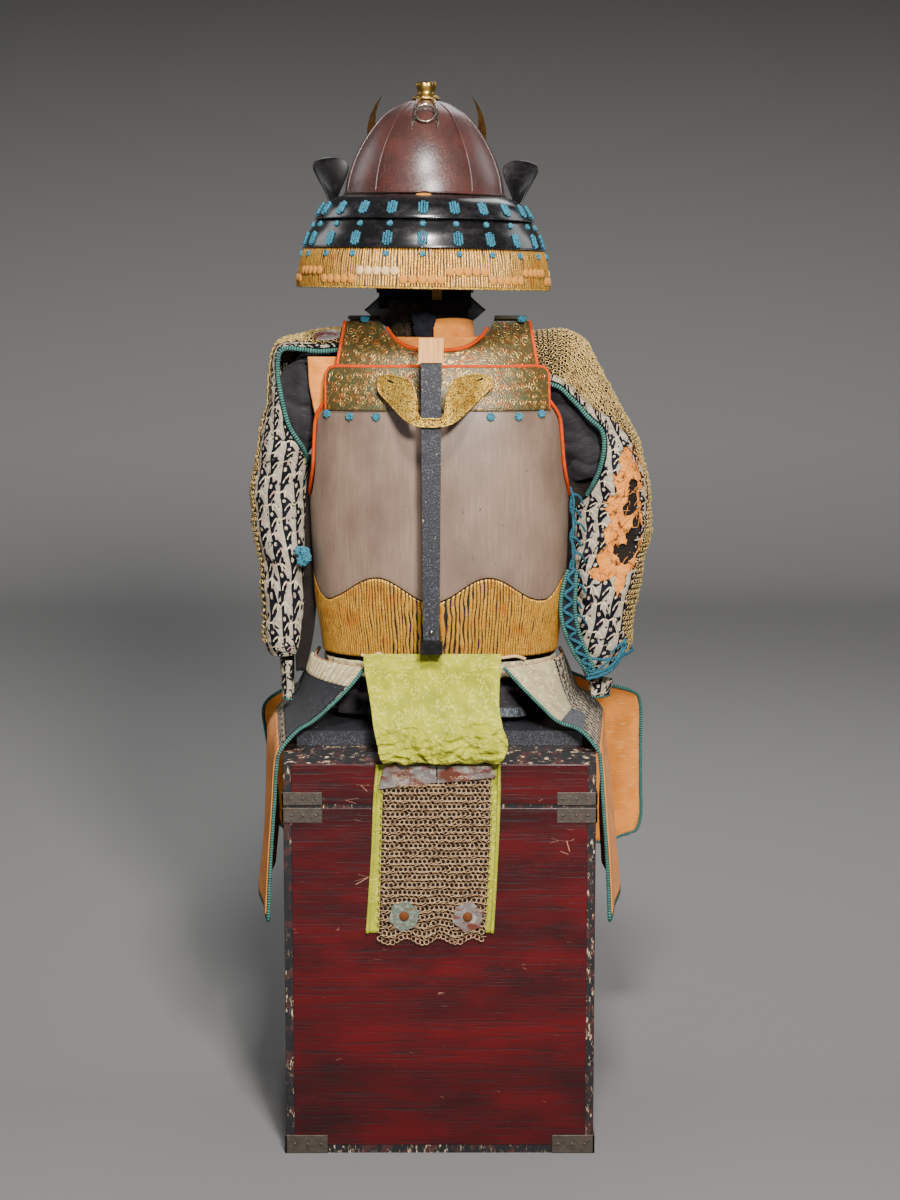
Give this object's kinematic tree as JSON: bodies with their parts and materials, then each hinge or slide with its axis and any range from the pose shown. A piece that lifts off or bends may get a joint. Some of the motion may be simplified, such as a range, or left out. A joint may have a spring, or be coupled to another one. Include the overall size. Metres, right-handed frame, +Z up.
{
  "type": "samurai armour seated on its storage chest with a wooden stand",
  "caption": "Japanese samurai armour set out on its lacquered chest: helmet with lamed neck guard, plate cuirass, mailed sleeves, thigh guards and a rear apron.",
  "frame": {"origin": "middle of the chest's underside, on the floor", "axes": "+Z up; -Y is the side that the armour's back faces; +X is to the right as seen from behind the armour"},
  "size_m": [0.5762, 0.4603, 1.4597],
  "materials": {
    "red_lacquer": "red-brown lacquer over grained wood, worn edges",
    "black_wood": "black painted wood, worn",
    "tan_wood": "bare pale wood",
    "russet_iron": "russet lacquered iron, satin",
    "black_lacquer": "black lacquer, glossy",
    "gold_bark": "gold on black bark-ribbed lacquer",
    "brass": "old polished brass",
    "taupe_lacquer": "taupe lacquer, matt, finely brushed",
    "embossed_leather": "green bronze leather with gilt raised scrolls",
    "orange_cord": "orange lacquered rolled edging",
    "navy_brocade": "dark navy silk with pale vine and flower weave",
    "mail": "tarnished iron rings, golden beige",
    "green_braid": "green and pale striped braid",
    "charcoal_cotton": "charcoal cotton",
    "tan_linen": "orange-tan hemp lining",
    "cream_silk": "faded cream damask",
    "green_damask": "yellow-green silk damask",
    "rusty_mail": "rusted iron mail",
    "rusty_iron": "grey iron plate with rust",
    "blue_cord": "blue silk braid"
  },
  "bodies": {
    "root": {"chest_body": "red_lacquer", "chest_lid": "red_lacquer", "stand_base": "black_wood", "stand_post": "tan_wood", "stand_bar": "tan_wood", "back_plate": "taupe_lacquer", "back_hem": "gold_bark", "front_plate": "taupe_lacquer", "front_hem": "gold_bark", "yoke_lower": "embossed_leather", "yoke_upper": "embossed_leather", "shoulder_strap_left": "embossed_leather", "shoulder_strap_right": "embossed_leather", "armhole_piping_left": "orange_cord", "armhole_piping_right": "orange_cord", "neck_piping": "orange_cord", "pole_tube": "black_wood", "pole_cap": "tan_wood", "pole_bracket": "gold_bark", "pole_foot": "black_lacquer", "helmet_bowl": "russet_iron", "neck_guard_lame_1": "black_lacquer", "neck_guard_lame_2": "black_lacquer", "neck_guard_lame_3": "gold_bark", "helmet_peak": "russet_iron", "helmet_ear_left": "black_lacquer", "helmet_ear_right": "black_lacquer", "crest_crescent": "brass", "crest_socket": "brass", "finial": "brass", "ring_stud": "brass", "chin_guard": "black_lacquer", "throat_guard": "black_lacquer", "neck_lining": "tan_linen", "neck_collar": "navy_brocade", "sleeve_left": "navy_brocade", "shoulder_mail_left": "mail", "sleeve_edging_left": "green_braid", "sleeve_right": "navy_brocade", "shoulder_mail_right": "mail", "sleeve_edging_right": "green_braid", "under_sleeve_left": "charcoal_cotton", "under_sleeve_right": "charcoal_cotton", "armhole_lining_left": "tan_linen", "hand_guard_left": "navy_brocade", "hand_guard_right": "navy_brocade", "lacing_cord_right": "blue_cord", "inner_skirt": "charcoal_cotton", "waistband": "cream_silk", "side_panel_left": "navy_brocade", "side_panel_right": "navy_brocade", "cream_patch": "cream_silk", "front_panel_left": "navy_brocade", "front_panel_right": "navy_brocade", "apron_upper": "green_damask", "apron_lower": "green_damask", "apron_mail": "rusty_mail", "apron_plate_left": "rusty_iron", "apron_plate_right": "rusty_iron"},
    "ring": {"back_ring": "brass"}
  },
  "joints": [
    {"name": "ring_swing", "type": "hinge", "parent": "root", "child": "ring", "pos_m": [-0.01912, -0.0635, 1.42349], "axis": [-0.9999, 0, 0.0157], "range_deg": [0, 120]}
  ]
}
